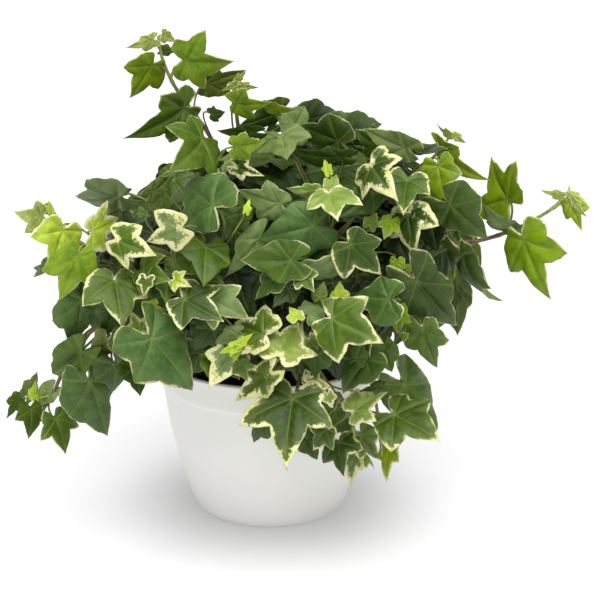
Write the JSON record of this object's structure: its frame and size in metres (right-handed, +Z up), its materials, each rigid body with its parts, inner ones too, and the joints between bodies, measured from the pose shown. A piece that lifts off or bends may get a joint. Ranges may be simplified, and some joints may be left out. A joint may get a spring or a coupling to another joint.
{
  "type": "potted ivy",
  "caption": "Variegated ivy with lobed leaves on trailing and upright stems, rooted in potting soil in a round tapered white pot with a banded rim.",
  "frame": {"origin": "centre of the pot's underside, on the surface it rests on", "axes": "+Z up along the pot's axis; +X along the plant's widest spread, towards the long runner; -Y towards the side with the leaves that hang over the rim"},
  "size_m": [0.3477, 0.284, 0.2956],
  "materials": {
    "pot_white": "satin white, lightly glazed",
    "soil": null,
    "stem": "thin woody bark",
    "leaf_green": null
  },
  "bodies": {
    "root": {"leaf_back_1": "leaf_green", "leaf_back_2": "leaf_green", "leaf_back_3": "leaf_green", "leaf_back_4": "leaf_green", "leaf_back_5": "leaf_green", "leaf_back_6": "leaf_green", "leaf_back_7": "leaf_green", "leaf_back_8": "leaf_green", "leaf_back_9": "leaf_green", "leaf_crown_centre": "leaf_green", "leaf_crown_heart": "leaf_green", "leaf_crown_right": "leaf_green", "leaf_front_cream": "leaf_green", "leaf_front_hero": "leaf_green", "leaf_front_right_back": "leaf_green", "leaf_front_right_front": "leaf_green", "leaf_front_star": "leaf_green", "leaf_left_dark": "leaf_green", "leaf_left_hanging": "leaf_green", "leaf_left_hero": "leaf_green", "leaf_left_light": "leaf_green", "leaf_left_tip": "leaf_green", "leaf_left_top_blue": "leaf_green", "leaf_left_top_grey": "leaf_green", "leaf_left_yellow": "leaf_green", "leaf_right_big": "leaf_green", "leaf_right_small": "leaf_green", "leaf_runner_arched": "leaf_green", "leaf_runner_bright": "leaf_green", "leaf_runner_hanging": "leaf_green", "leaf_runner_tip": "leaf_green", "leaf_runner_upright": "leaf_green", "leaf_top_back_broad": "leaf_green", "leaf_top_left_big": "leaf_green", "leaf_top_left_curled": "leaf_green", "leaf_top_left_lime": "leaf_green", "leaf_top_left_low": "leaf_green", "leaf_top_middle_lime": "leaf_green", "leaf_top_right_cream": "leaf_green", "leaf_top_right_grey": "leaf_green", "leaf_top_right_lime": "leaf_green", "pot": "pot_white", "soil": "soil", "stem_back_left": "stem", "stem_back_middle": "stem", "stem_back_right": "stem", "stem_crown_left": "stem", "stem_crown_right": "stem", "stem_front_left": "stem", "stem_front_middle": "stem", "stem_front_right": "stem", "stem_left_low": "stem", "stem_left_middle": "stem", "stem_left_top": "stem", "stem_right_low": "stem", "stem_right_runner": "stem", "stem_top_back": "stem", "stem_top_left": "stem", "stem_top_middle": "stem", "stem_top_right": "stem"}
  },
  "joints": []
}
